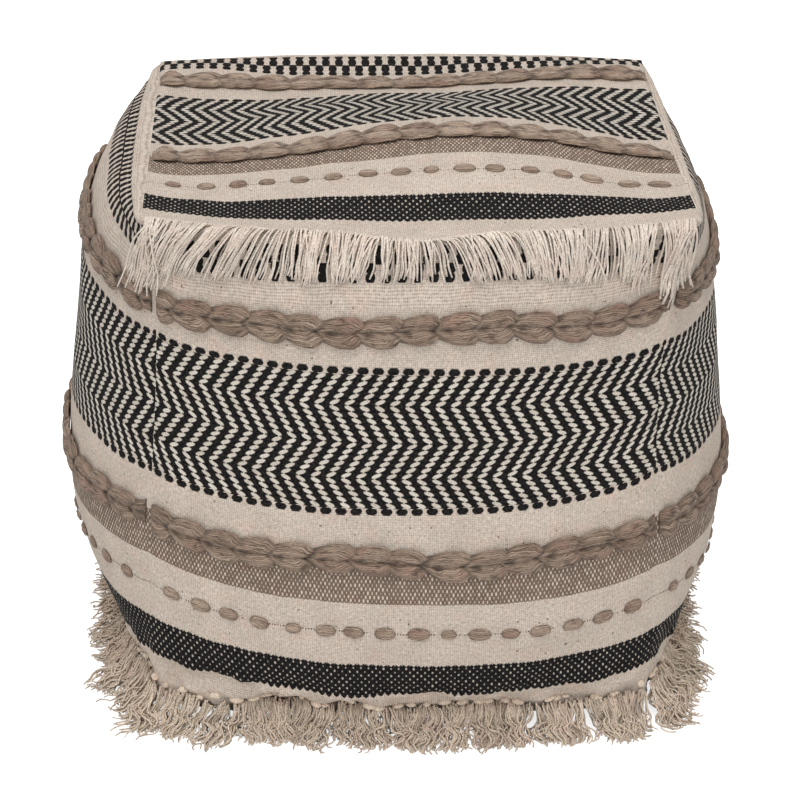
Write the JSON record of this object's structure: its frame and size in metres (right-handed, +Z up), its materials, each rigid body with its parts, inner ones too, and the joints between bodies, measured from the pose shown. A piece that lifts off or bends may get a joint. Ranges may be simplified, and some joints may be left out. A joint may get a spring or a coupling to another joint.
{
  "type": "cube pouf stool",
  "caption": "Filled cube pouf of striped handwoven cotton with chevron and check bands, braids, oval tufts and fringes.",
  "frame": {"origin": "on the floor, under the middle of the pouf's outline", "axes": "+Z up, the front panel, with the hanging fringe over it, toward -Y, +X to the right seen from the front"},
  "size_m": [0.5382, 0.5072, 0.4291],
  "materials": {
    "cream_cloth": "matt handwoven cotton",
    "taupe_yarn": "matt cotton yarn",
    "fringe_yarn": "matt cotton yarn"
  },
  "bodies": {
    "root": {"body": "cream_cloth", "braid_lower_back": "taupe_yarn", "braid_lower_front": "taupe_yarn", "braid_lower_left": "taupe_yarn", "braid_lower_right": "taupe_yarn", "braid_top_back": "taupe_yarn", "braid_top_front": "taupe_yarn", "braid_upper_back": "taupe_yarn", "braid_upper_front": "taupe_yarn", "braid_upper_left": "taupe_yarn", "braid_upper_right": "taupe_yarn", "dots_back": "taupe_yarn", "dots_front": "taupe_yarn", "dots_left": "taupe_yarn", "dots_right": "taupe_yarn", "dots_top": "taupe_yarn", "fringe_back": "fringe_yarn", "fringe_front": "fringe_yarn", "fringe_left": "fringe_yarn", "fringe_right": "fringe_yarn", "fringe_top": "fringe_yarn"}
  },
  "joints": []
}
